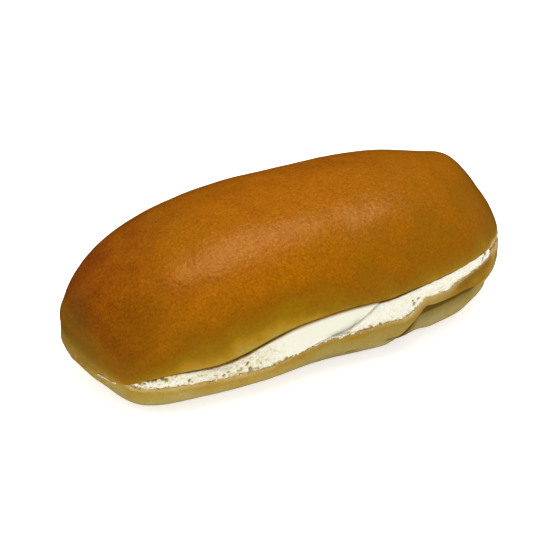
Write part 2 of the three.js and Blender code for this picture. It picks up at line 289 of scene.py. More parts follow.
class CrumbSettings(PropertyGroup):
    colour: FloatVectorProperty(
        name="Crumb", description="Loose crumbs along the lower lip",
        subtype="COLOR", size=4, min=0, max=1, default=linear("#C9B36C"))
    dark: FloatVectorProperty(
        name="Dark crumb", description="The darkest of the crumbs",
        subtype="COLOR", size=4, min=0, max=1, default=linear("#9A7A2C"))
    light: FloatVectorProperty(
        name="Light crumb", description="The lightest of the crumbs",
        subtype="COLOR", size=4, min=0, max=1, default=linear("#EEE6C8"))
    mottle: FloatProperty(
        name="Mottle size", description="Distance between lighter and darker crumbs",
        unit="LENGTH", default=1.8 * MM, min=0.2 * MM, max=10 * MM)
    number: IntProperty(
        name="Crumbs", description="Number of loose crumbs along the whole lip", default=110, min=0, max=1000)
    pleats: IntProperty(
        name="Pleats", description="Number of bits of torn crumb where the slit closes at the right end",
        default=22, min=2, max=200)
    beads: IntProperty(
        name="Beads", description="Number of cream bubbles under the tongue's edge",
        default=16, min=0, max=100)
    smear: IntProperty(
        name="Smear", description="Number of dabs in the thin smear of cream at the left end",
        default=26, min=0, max=100)
    size: FloatProperty(
        name="Crumb size", description="Width of a middling crumb",
        unit="LENGTH", default=0.75 * MM, min=0.1 * MM, max=4 * MM)


class StageSettings(PropertyGroup):
    azimuth: FloatProperty(
        name="Azimuth", description="Camera's angle round the roll",
        subtype="ANGLE", default=math.radians(-23))
    elevation: FloatProperty(
        name="Elevation", description="Camera's angle above the floor",
        subtype="ANGLE", default=math.radians(40))
    distance: FloatProperty(
        name="Distance", description="Camera's distance from the roll",
        unit="LENGTH", default=0.7, min=0.1)
    lens: FloatProperty(
        name="Lens", description="Focal length on a 36 mm sensor", unit="CAMERA", default=125.2, min=10)
    aim: FloatVectorProperty(
        name="Aim", description="Point the camera looks at", subtype="TRANSLATION", size=3,
        default=(-0.0025, -0.0030, 0.0205))
    sky: FloatProperty(name="Sky", description="Strength of the even light all round", default=0.75, min=0)
    softbox: FloatProperty(
        name="Softbox", description="Power of the large soft light overhead",
        unit="POWER", default=8.0, min=0)
    width: FloatProperty(
        name="Softbox width", description="Length of the soft light's long side",
        unit="LENGTH", default=0.82, min=0.01)
    depth: FloatProperty(
        name="Softbox depth", description="Length of the soft light's short side",
        unit="LENGTH", default=0.46, min=0.01)
    height: FloatProperty(
        name="Softbox height", description="Distance of the soft light from the roll",
        unit="LENGTH", default=1.1, min=0.1)
    turn: FloatProperty(
        name="Softbox turn", description="Turn of the soft light's long side from the roll's length",
        subtype="ANGLE", default=math.radians(46))
    floor: FloatVectorProperty(
        name="Floor", description="Colour of the plain floor",
        subtype="COLOR", size=4, min=0, max=1, default=linear("#F7F7F7"))
    glow: FloatProperty(
        name="Floor glow", description="Light of the floor itself, as of a lit table", default=0.6, min=0)


def add(tree, kind, sockets=None, stops=None, **settings):
    """Adds one node: settings are its properties, sockets its inputs, each a value or an output to link."""
    made = tree.nodes.new(kind)
    for name, value in settings.items():
        setattr(made, name, value)
    for name, value in (sockets or {}).items():
        if isinstance(value, bpy.types.NodeSocket):
            tree.links.new(value, made.inputs[name])
        else:
            made.inputs[name].default_value = value
    if stops:
        elements = made.color_ramp.elements
        while len(elements) < len(stops):
            elements.new(1.0)
        for element, (place, colour) in zip(elements, stops):
            element.position = place
            element.color = colour
    return made


def new_material(name):
    material = bpy.data.materials.new(name)
    material.use_nodes = True
    material.node_tree.nodes.clear()
    return material, material.node_tree


def baked_crust(crust):
    """Egg-washed bread crust: satin golden brown with faint blotches, fine skin wrinkles and pores, darkened
    by painted shade where the crease attribute says.
    """
    material, tree = new_material("baked_bread_crust")
    place = add(tree, "ShaderNodeTexCoord").outputs["Object"]
    bake = add(tree, "ShaderNodeAttribute", attribute_name="bake").outputs["Fac"]
    torn = add(tree, "ShaderNodeAttribute", attribute_name="crumb").outputs["Fac"]
    # The crease attribute is painted shade: how far the crust is darkened towards the crease colour.
    deep = add(tree, "ShaderNodeAttribute", attribute_name="crease").outputs["Fac"]
    blotch = add(tree, "ShaderNodeTexNoise", {
        "Vector": place, "Scale": 1 / crust.blotch, "Detail": 3.0, "Roughness": 0.55}).outputs["Fac"]
    grain = add(tree, "ShaderNodeTexNoise", {
        "Vector": place, "Scale": 1 / crust.grain, "Detail": 3.0, "Roughness": 0.6,
        "Distortion": 0.8}).outputs["Fac"]
    blotched = add(tree, "ShaderNodeMath", {0: blotch, 1: 0.26, 2: bake}, operation="MULTIPLY_ADD").outputs[0]
    grained = add(tree, "ShaderNodeMath", {
        0: grain, 1: 0.12, 2: blotched}, operation="MULTIPLY_ADD").outputs[0]
    level = add(tree, "ShaderNodeMath", {0: grained, 1: 0.19}, operation="SUBTRACT").outputs[0]
    ramped = add(tree, "ShaderNodeValToRGB", {"Fac": level}, stops=[
        (0.05, crust.pale), (0.24, crust.tan), (0.34, crust.amber), (0.42, crust.olive),
        (0.56, crust.brown), (0.76, crust.golden), (1.0, crust.dark)]).outputs["Color"]
    depth = add(tree, "ShaderNodeMapRange", {
        "Value": level, "From Min": 0.6, "From Max": 1.0, "To Min": 0.8, "To Max": 2.4}).outputs["Result"]
    centred = add(tree, "ShaderNodeMath", {0: grain, 1: 0.5}, operation="SUBTRACT").outputs[0]
    tone = add(tree, "ShaderNodeMath", {0: centred, 1: depth, 2: 1.0}, operation="MULTIPLY_ADD").outputs[0]
    skin = add(tree, "ShaderNodeVectorMath", {0: ramped, "Scale": tone}, operation="SCALE").outputs["Vector"]
    cells = add(tree, "ShaderNodeTexVoronoi", {"Vector": place, "Scale": 1 / crust.pore})
    dot = add(tree, "ShaderNodeMapRange", {
        "Value": cells.outputs["Distance"], "From Min": 0.05, "From Max": 0.3,
        "To Min": 1.0, "To Max": 0.0}).outputs["Result"]
    pick = add(tree, "ShaderNodeSeparateColor", {"Color": cells.outputs["Color"]})
    some = add(tree, "ShaderNodeMapRange", {
        "Value": pick.outputs["Red"], "From Min": 0.5, "From Max": 1.0}).outputs["Result"]
    speck = add(tree, "ShaderNodeMath", {0: dot, 1: some}, operation="MULTIPLY").outputs[0]
    faint = add(tree, "ShaderNodeMath", {0: speck, 1: 0.25}, operation="MULTIPLY").outputs[0]
    colour = skin
    for share, tint in ((faint, crust.tan), (deep, crust.crease), (torn, crust.crumb)):
        colour = add(tree, "ShaderNodeMix", {0: share, 6: colour, 7: tint}, data_type="RGBA").outputs[2]
    satin = add(tree, "ShaderNodeMapRange", {
        "Value": level, "From Min": 0.2, "From Max": 0.6, "To Min": 0.55, "To Max": 0.28}).outputs["Result"]
    rough = add(tree, "ShaderNodeMath", {0: torn, 1: 0.3, 2: satin}, operation="MULTIPLY_ADD").outputs[0]
    shine = add(tree, "ShaderNodeMapRange", {
        "Value": level, "From Min": 0.2, "From Max": 0.6, "To Min": 0.1, "To Max": 0.3}).outputs["Result"]
    glint = add(tree, "ShaderNodeMapRange", {
        "Value": grain, "From Min": 0.3, "From Max": 0.7, "To Min": 0.78, "To Max": 1.22}).outputs["Result"]
    polish = add(tree, "ShaderNodeAttribute", attribute_name="polish").outputs["Fac"]
    polished = add(tree, "ShaderNodeMath", {0: shine, 1: polish}, operation="MULTIPLY").outputs[0]
    sparkle = add(tree, "ShaderNodeMath", {0: polished, 1: glint}, operation="MULTIPLY").outputs[0]
    wrinkles = add(tree, "ShaderNodeTexNoise", {
        "Vector": place, "Scale": 1 / crust.wrinkle, "Detail": 1.0, "Distortion": 0.5}).outputs["Fac"]
    height = add(tree, "ShaderNodeMath", {
        0: speck, 1: 0.15, 2: wrinkles}, operation="MULTIPLY_ADD").outputs[0]
    bump = add(tree, "ShaderNodeBump", {"Height": height, "Strength": 0.37, "Distance": 0.0004})
    surface = add(tree, "ShaderNodeBsdfPrincipled", {
        "Base Color": colour, "Roughness": rough, "Normal": bump.outputs["Normal"],
        "Specular IOR Level": sparkle, "Specular Tint": crust.gloss, "IOR": 1.45})
    add(tree, "ShaderNodeOutputMaterial", {"Surface": surface.outputs["BSDF"]})
    return material


def whipped_cream(cream):
    """Whipped cream: off-white and soft in the light, with a fine foam, smeared crumb and yellower holes, and
    painted shade under the upper lip and along the tongue's edge.
    """
    material, tree = new_material("whipped_cream")
    place = add(tree, "ShaderNodeTexCoord").outputs["Object"]
    hollow = add(tree, "ShaderNodeAttribute", attribute_name="hollow").outputs["Fac"]
    # The under attribute is painted shade: the cream's top edge in the shade of the upper lip.
    under = add(tree, "ShaderNodeAttribute", attribute_name="under").outputs["Fac"]
    shade = add(tree, "ShaderNodeAttribute", attribute_name="shade").outputs["Fac"]
    rough = add(tree, "ShaderNodeAttribute", attribute_name="rough").outputs["Fac"]
    crumby = add(tree, "ShaderNodeAttribute", attribute_name="crumby").outputs["Fac"]
    foam = add(tree, "ShaderNodeTexNoise", {
        "Vector": place, "Scale": 1 / cream.foam, "Detail": 3.0, "Roughness": 0.6}).outputs["Fac"]
    flecks = add(tree, "ShaderNodeTexNoise", {
        "Vector": place, "Scale": 1 / cream.fleck, "Detail": 3.0, "Roughness": 0.65}).outputs["Fac"]
    fleck = add(tree, "ShaderNodeMapRange", {
        "Value": flecks, "From Min": 0.5, "From Max": 0.66, "To Min": 0.2, "To Max": 0.9}).outputs["Result"]
    smeared = add(tree, "ShaderNodeMath", {0: fleck, 1: crumby}, operation="MULTIPLY").outputs[0]
    pit = add(tree, "ShaderNodeMapRange", {
        "Value": flecks, "From Min": 0.62, "From Max": 0.7}).outputs["Result"]
    pitted = add(tree, "ShaderNodeMath", {0: pit, 1: crumby, 2: hollow}, operation="MULTIPLY_ADD").outputs[0]
    colour = cream.colour
    for share, tint in (
            (rough, cream.rough), (smeared, cream.speck), (pitted, cream.hollow), (under, cream.under),
            (shade, cream.shade)):
        colour = add(tree, "ShaderNodeMix", {0: share, 6: colour, 7: tint}, data_type="RGBA").outputs[2]
    foamy = add(tree, "ShaderNodeMath", {0: foam, 1: rough}, operation="MULTIPLY").outputs[0]
    bump = add(tree, "ShaderNodeBump", {"Height": foamy, "Strength": 0.9, "Distance": 0.0007})
    surface = add(tree, "ShaderNodeBsdfPrincipled", {
        "Base Color": colour, "Roughness": 0.5, "Normal": bump.outputs["Normal"],
        "Specular IOR Level": 0.3, "IOR": 1.4, "Subsurface Weight": 0.3,
        "Subsurface Radius": (1.0, 0.8, 0.5), "Subsurface Scale": 0.0015})
    add(tree, "ShaderNodeOutputMaterial", {"Surface": surface.outputs["BSDF"]})
    return material


def loose_crumb(crumbs):
    """Torn bread crumb: matt, pale and yellowish, each bit a little different."""
    material, tree = new_material("bread_crumb")
    place = add(tree, "ShaderNodeTexCoord").outputs["Object"]
    tone = add(tree, "ShaderNodeTexNoise", {
        "Vector": place, "Scale": 1 / crumbs.mottle, "Detail": 1.0}).outputs["Fac"]
    colour = add(tree, "ShaderNodeValToRGB", {"Fac": tone}, stops=[
        (0.3, crumbs.dark), (0.5, crumbs.colour), (0.7, crumbs.light)]).outputs["Color"]
    surface = add(tree, "ShaderNodeBsdfPrincipled", {
        "Base Color": colour, "Roughness": 0.8, "Specular IOR Level": 0.25})
    add(tree, "ShaderNodeOutputMaterial", {"Surface": surface.outputs["BSDF"]})
    return material


def plain_floor(stage):
    """Matt white paper, bright enough to run into the white all round."""
    material, tree = new_material("white_paper")
    surface = add(tree, "ShaderNodeBsdfPrincipled", {
        "Base Color": stage.floor, "Roughness": 0.95, "Specular IOR Level": 0.1,
        "Emission Color": (1, 1, 1, 1), "Emission Strength": stage.glow})
    add(tree, "ShaderNodeOutputMaterial", {"Surface": surface.outputs["BSDF"]})
    return material


def sections_of(node):
    """A merged copy of a lofted solid as quads between its sections, with one face over each end."""
    bm = bmesh.new()
    bm.from_mesh(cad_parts[node].data)
    bmesh.ops.remove_doubles(bm, verts=bm.verts, dist=SAME_PLACE)
    for outermost in (min, max):
        end = outermost(v.co.x for v in bm.verts)
        cap = [f for f in bm.faces if all(abs(v.co.x - end) < SAME_PLACE for v in f.verts)]
        bmesh.ops.dissolve_faces(bm, faces=cap)
    before, after = set(), set()
    for face in bm.faces:
        for loop in face.loops:
            if len(face.verts) == 3 and abs(loop.vert.co.x - loop.link_loop_next.vert.co.x) < SAME_PLACE:
                before.add(loop.link_loop_prev.edge)
                after.add(loop.link_loop_next.edge)
    slanting = max(before, after, key=lambda edges: sum(e.calc_length() for e in edges))
    bm.edges.index_update()
    bmesh.ops.dissolve_edges(bm, edges=sorted(slanting, key=lambda edge: edge.index))
    return bm


def runs_along(edge):
    return abs(edge.verts[0].co.x - edge.verts[1].co.x) > SAME_PLACE


def smooth_piece(bm, name):
    """A new object from a bmesh, rounded by a subdivision surface that is then applied."""
    rough = bpy.data.meshes.new(name)
    bm.to_mesh(rough)
    bm.free()
    piece = bpy.data.objects.new(name, rough)
    bpy.context.scene.collection.objects.link(piece)
    rounding = piece.modifiers.new("Rounding", "SUBSURF")
    rounding.levels = ROUNDING_LEVELS
    rounding.render_levels = ROUNDING_LEVELS
    graph = bpy.context.evaluated_depsgraph_get()
    piece.data = bpy.data.meshes.new_from_object(piece.evaluated_get(graph))
    piece.modifiers.clear()
    piece.data.name = name
    piece.data.materials.clear()
    return piece


def scattered_piece(bm, name, material, slot):
    """A new object from a bmesh of many loose bits."""
    mesh = bpy.data.meshes.new(name)
    bm.to_mesh(mesh)
    bm.free()
    piece = bpy.data.objects.new(name, mesh)
    bpy.context.scene.collection.objects.link(piece)
    finish_piece(piece, material, slot)


def finish_piece(piece, material, slot, *replaced):
    for polygon in piece.data.polygons:
        polygon.use_smooth = True
    piece.data.materials.append(material)
    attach(piece, "root")
    if replaced:
        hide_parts(*replaced)


def store(mesh, name, values):
    attribute = mesh.attributes.new(name, "FLOAT", "POINT")
    attribute.data.foreach_set("value", values)


def stored(mesh, name):
    return [entry.value for entry in mesh.attributes[name].data]


def torn_share(p, low, high):
    """1 on the torn faces inside the slit, 0 on the outer skin."""
    if not -74 < p.x < 69 or p.y > 16 or not low.z - 0.6 < p.z < high.z + 3.0:
        return 0.0
    upper = ramp(p.z, mix(low.z, high.z, 0.45), mix(low.z, high.z, 0.75))
    return mix(ramp(p.y - low.y, -0.5, 0.5), ramp(p.y - high.y, 1.0, 3.0), upper)


def cut_rim(p, low, high):
    """How much of the pale cut shows on the outer edge of the lower lip."""
    if not -74 < p.x < 69 or p.y > low.y + 4 or p.z > (low.z + high.z) / 2:
        return 0.0
    share = steps(p.x, CUT_RIM)
    strength = 0.7 + 0.3 * ripple(p, 5, 2.7) + 0.35 * ripple(p, 1.8, 5.5)
    wide = 2.8 * share * (1 - 0.65 * ramp(p.x, 48, 58))
    return max(0.0, strength) * share * (1 - ramp(low.z - p.z, 0.4, 1.2 + wide))


def closing_seam(p):
    """How much of the pale, pleated seam shows past the slit's right end, from 0 to 1."""
    height = mix(28.3, 27.4, ramp(p.x, 68, 78))
    wide = mix(1.5, 3.2, ramp(height - p.z, 0, 2) * ramp(p.x, 69, 72))
    return ramp(p.x, 66, 70) * bell(p.z - height, wide) * (1 - ramp(p.y, -18, -8))


def pale_flecks(p):
    """How pale the flecks of the wrinkled skin at the left end are, from 0 to 1."""
    where = ramp(-p.x, 73, 77) * bell(p.z - 13.5, 3.5) * (1 - ramp(p.y, -12, -2))
    return 0.55 * ramp(ripple(p, 1.2, 7.1), 0.12, 0.42) * where


def bake_level(p, low, high):
    """How far the crust is baked, from 0 for pale skin to 1 for the darkest brown."""
    near = (1 - ramp(p.y, -24, 6)) * (1 - ramp(abs(p.x), 70, 80))
    rise = p.z - mix(mix(22.5, 20.0, ramp(-p.x, 64, 80)), high.z, near)
    left, middle, right = (steps(rise, stops) for stops in ABOVE_LIP)
    upper = mix(mix(left, middle, ramp(p.x, -68, -42)), right, ramp(p.x, -14, 14))
    upper += 0.22 * ramp(-p.x, 30, 82) * ramp(rise, 0, 10)
    upper += 0.08 * bell(p.x - 4, 18) * bell(rise - 18, 8)
    upper += 0.07 * ramp(p.y, -4, 12) * (1 - ramp(p.x, 30, 60))
    upper -= ramp(p.x, 54, 78) * mix(0.10, 0.05, ramp(p.y, -20, -5)) * ramp(rise, 8, 20)
    under = low.z - p.z
    lower = 0.30 - 0.10 * ramp(under, 0.5, 6) - mix(0.10, 0.02, ramp(p.x, 40, 56)) * ramp(under, 5, 14)
    roll = 0.19 * ramp(p.x, 44, 56) - 0.04 * ramp(p.x, 56, 64) - 0.07 * ramp(p.x, 65, 71)
    lower += roll * (1 - ramp(under, 8, 12))
    lower += 0.12 * (1 - ramp(p.z, 0.1, 1.2))
    upper -= 0.12 * closing_seam(p)
    split = 1.0 if p.z > (low.z + high.z) / 2 else 0.0
    return mix(lower, upper, mix(ramp(rise, -7, 2), split, near))


def fold_drop(x):
    """How far the relief lets the fold's roll hang down."""
    return 0.8 * ramp(x, 36, 43) + 1.8 * ramp(x, 55, 64)


def fold_height(x):
    return mix(FOLD_LOW, FOLD_HIGH, ramp(x, *FOLD_CLIMB)) - fold_drop(x)


def hang_fold(p):
    """A place on the near side, moved down with the fold's roll."""
    return p - Vector((0, 0, fold_drop(p.x) * bell(p.z - FOLD_HIGH, 4) * (1 - ramp(p.y, -18, -6))))


def fold_crease(p):
    """How deep in the shade of the fold's roll a place of the near side lies, from 0 to 1."""
    height = fold_height(p.x)
    steep = (fold_height(p.x + 0.5) - height) / 0.5
    below = (height - p.z) / math.hypot(1, steep)
    wide = mix(4.8, 4.0, ramp(p.x, 44, 62))
    line = 1 - ramp(below, wide, wide + 1.8)
    shade = 0.5 * (1 - ramp(below, 4, 12))
    end = mix(1.0, 0.5, ramp(p.x, 61, 69)) * (1 - ramp(p.x, *FOLD_FADES))
    return max(line, shade) * ramp(below, -0.4, 0.4) * ramp(p.x, *FOLD_DEEPENS) * end


def shaded(p, low, high):
    """How much painted shade darkens the left end, the crown's shoulders and the lower side towards the
    crease colour, from 0 to 1.
    """
    end = 0.5 * ramp(-p.x, 70, 81) * mix(0.55, 1.0, ramp(p.z, 12, 25)) * (1 - ramp(p.y, -4, 16))
    rise = p.z - high.z + 4 * ramp(-p.x, 54, 64)
    front = 0.3 * ramp(-p.x, 42, 58) * ramp(rise, 5, 12) * (1 - ramp(rise, 18, 32)) * (1 - ramp(p.y, -20, -6))
    side = 0.07 + 0.18 * ramp(p.x, -24, 6) - 0.06 * ramp(p.x, 30, 44) - 0.13 * ramp(p.x, 55, 66)
    side *= 1 - ramp(p.y, -20, 0)
    crown = 0.14 * bell(abs(p.x) - 44, 12) * bell(p.y - 2, 14) * ramp(p.z, 35, 45)
    return side if p.z < (low.z + high.z) / 2 and p.x > -74 else max(end, front) + crown


def small_creases(p):
    """Depth of the small creases of the near side at a place, in mm."""
    depth = 0.0
    here = Vector((p.x, p.z))
    for start, end, deep, half_width in CREASES:
        a, b = Vector(start), Vector(end)
        share = (here - a).dot(b - a) / (b - a).length_squared
        inside = ramp(share, -0.05, 0.3) * (1 - ramp(share, 0.7, 1.05))
        if inside > 0:
            gap = (here - a.lerp(b, share)).length
            depth = max(depth, deep * inside * bell(gap, half_width))
    return depth


def left_end_relief(p):
    """The left end: a rim under the slit, a bump on the near corner, fine wrinkles and a full nose."""
    rim = (1.0 * bell(p.z - 12.5, 5) - 0.7 * bell(p.z - 18, 2.5) * bell(p.y + 8, 6)) * ramp(-p.x, 72, 80)
    corner = 0.9 * bell(p.z - 10, 4) * bell(p.x + 78, 4) - 0.6 * bell(p.z - 5, 3) * bell(p.x + 72, 4)
    corner *= 1 - ramp(p.y, -14, -5)
    drawn_out = Vector((p.x, p.y / 2.5, p.z))
    wrinkle = 0.5 * ripple(drawn_out, 2.4, 4.4) * ramp(-p.x, 74, 81) * bell(p.z - 15, 7)
    nose = 0.9 * ramp(-p.x, 77, 81) * bell(p.y - 4, 10) * bell(p.z - 24.5, 4)
    return rim + corner + wrinkle + nose


def right_end_relief(p):
    """The right end: a full seam and top corner, and skin that is drawn in under the fold's roll."""
    seam = 0.9 * ramp(p.x, 70, 77) * bell(p.z - 28, 5) * bell(p.y + 18, 9)
    tuck = 1.6 * ramp(p.x, 58, 68) * bell(p.z - 7, 4) * (1 - ramp(p.y, -16, -6))
    roll = 0.6 * ramp(p.x, 67, 71) * bell(p.z - 13, 4) * (1 - ramp(p.y, -14, -6))
    corner = 0.9 * bell(p.x - 70, 6) * bell(p.y - 8, 12) * bell(p.z - 45.5, 5)
    return seam - tuck + roll + corner


def foot_relief(p):
    """The near side's foot: drawn in where the fold starts, and a little full to its left."""
    drawn_in = 1.0 * bell(p.x - 39, 4) * (1 - ramp(p.z, 4, 11))
    full = 0.35 * (bell(p.x + 15, 12) + bell(p.x - 25, 5)) * bell(p.z - 9, 4)
    return (full - drawn_in) * (1 - ramp(p.y, -20, -10))


def bread_offset(p, low, high, crust):
    """How far the relief moves the crust out at a place."""
    lips = bell(p.z - (low.z + high.z) / 2, 7) * (1 - ramp(p.y, -36, -25))
    swell = ripple(p, 26) + 0.5 * ripple(p, 11, 3.1) + 0.22 * ripple(p, 4.2, 7.7)
    swell *= crust.unevenness / MM * (1 - 0.75 * lips)
    return swell + left_end_relief(p) + right_end_relief(p) + foot_relief(p)


def lip_underside(p, normal, high):
    """How far a place lies round the edge of the upper lip, in its shade, from 0 to 1."""
    edge = bell(p.z - high.z, 2) * ramp(-normal.z, 0.1, 0.55) * (1 - ramp(p.y - high.y, 1, 3))
    return edge * ramp(p.x, -60, -48) * (1 - ramp(p.x, 55, 66)) * mix(1.0, 0.65, ramp(p.x, -26, -10))


def foot_shade(p, normal):
    """How much painted shade darkens the near side where it turns under, just above the base, from 0 to 1."""
    return ramp(-normal.z, 0.5, 0.75) * (1 - ramp(p.z, 8, 12)) * (1 - ramp(p.y, -10, 10))


def sheen(x):
    """How glossy the crust is along the roll: most over its two shoulders."""
    return 1 + 0.4 * bell(x - 33, 13) + 0.3 * bell(x + 47, 12) - 0.1 * bell(x + 10, 12)


def outward(p, normal):
    """Which way the relief moves the crust: along its normal, or straight out from the core at the ends."""
    core = Vector((math.copysign(60, p.x), 0, 22))
    return normal.lerp((p - core).normalized(), ramp(abs(p.x), 72, 79)).normalized()


class BUN_OT_make_bread(Operator):
    """Make the bread: round the roll, give its skin swells and creases, and colour the crust with its bake
    and with painted shade
    """
    bl_idname = "bun.make_bread"
    bl_label = "Make bread"

    def execute(self, context):
        crust = context.scene.bun_crust
        bm = sections_of("bread")
        near_side = [e for e in bm.edges if runs_along(e) and all(self.is_near(v.co / MM) for v in e.verts)]
        bmesh.ops.subdivide_edges(bm, edges=near_side, cuts=1)
        piece = smooth_piece(bm, "bun_bread")
        mesh = piece.data
        bake, torn, crease, polish, moved = [], [], [], [], []
        for vertex in mesh.vertices:
            p = hang_fold(shift_lips(vertex.co / MM))
            low, high = mouth(p.x)
            seam = closing_seam(p) * max(0.0, 0.58 + 0.6 * ripple(p, 1.5, 3.3))
            inside = max(torn_share(p, low, high), cut_rim(p, low, high), seam, pale_flecks(p))
            outside = p.y < 0 and p.z < low.z
            sunk = small_creases(p) if outside else 0.0
            fold = fold_crease(p) if outside else 0.0
            torn.append(inside)
            level = bake_level(p, low, high)
            bake.append(level)
            # Painted shade: darkens the left end, the lower side and the crown's shoulders, a golden ring at
            # the left end, the upper lip's underside and the turned-under foot.
            painted_shade = shaded(p, low, high) + 0.3 * ramp(-p.x, 58, 68) * bell(level - 0.78, 0.1)
            painted_shade += lip_underside(p, vertex.normal, high) + 0.45 * foot_shade(p, vertex.normal)
            # The crease attribute is all painted shade: under the fold's roll, in the small creases, and the
            # darkening above.
            crease.append(min(1.0, fold + 1.2 * sunk + painted_shade))
            polish.append(sheen(p.x))
            on_base = 1 - ramp(p.z, 0.2, 2.5)
            out = bread_offset(p, low, high, crust) * (1 - inside) - sunk
            spread = 0.8 * bell(p.x + 64, 8) * (1 - ramp(p.z, 3, 9)) * (1 - ramp(p.y, -20, -8))
            moved.append(p + outward(p, vertex.normal) * out * (1 - on_base) - Vector((0, spread, 0)))
        for vertex, p in zip(mesh.vertices, moved):
            vertex.co = Vector((p.x, p.y, max(0.0, p.z))) * MM
        store(mesh, "bake", bake)
        store(mesh, "crumb", torn)
        # The crease attribute holds the painted shade.
        store(mesh, "crease", crease)
        store(mesh, "polish", polish)
        finish_piece(piece, baked_crust(crust), "bread", "bread")
        return {"FINISHED"}

    @staticmethod
    def is_near(p):
        """Whether a place is on the near side around and below the lips."""
        low, high = mouth(p.x)
        return p.y < low.y + 12 and p.z < high.z + 3 and (p.z < low.z or p.y < low.y + 3)


def tongue_share(x, down):
    """1 on the smooth tongue of cream, 0 on the rough cream, and how far the place is past its edge."""
    past = down - steps(x, TONGUE_EDGE)
    return ramp(x, *TONGUE_STARTS) * (1 - ramp(past, -0.05, 0.01)), past


def rings_of(bm):
    """The cream's sections, each as its points in order: upper face from the root, front, lower face."""
    rows = {}
    for vertex in bm.verts:
        rows.setdefault(round(vertex.co.x / MM, 2), set()).add(vertex)
    rings = []
    for x in sorted(rows):
        last, here = sorted(sorted(rows[x], key=lambda v: v.co.y)[-2:], key=lambda v: v.co.z)
        ring = []
        while len(ring) < len(rows[x]):
            ring.append(here)
            around = [edge.other_vert(here) for edge in here.link_edges]
            last, here = here, next(v for v in around if v in rows[x] and v != last)
        rings.append(ring)
    return rings


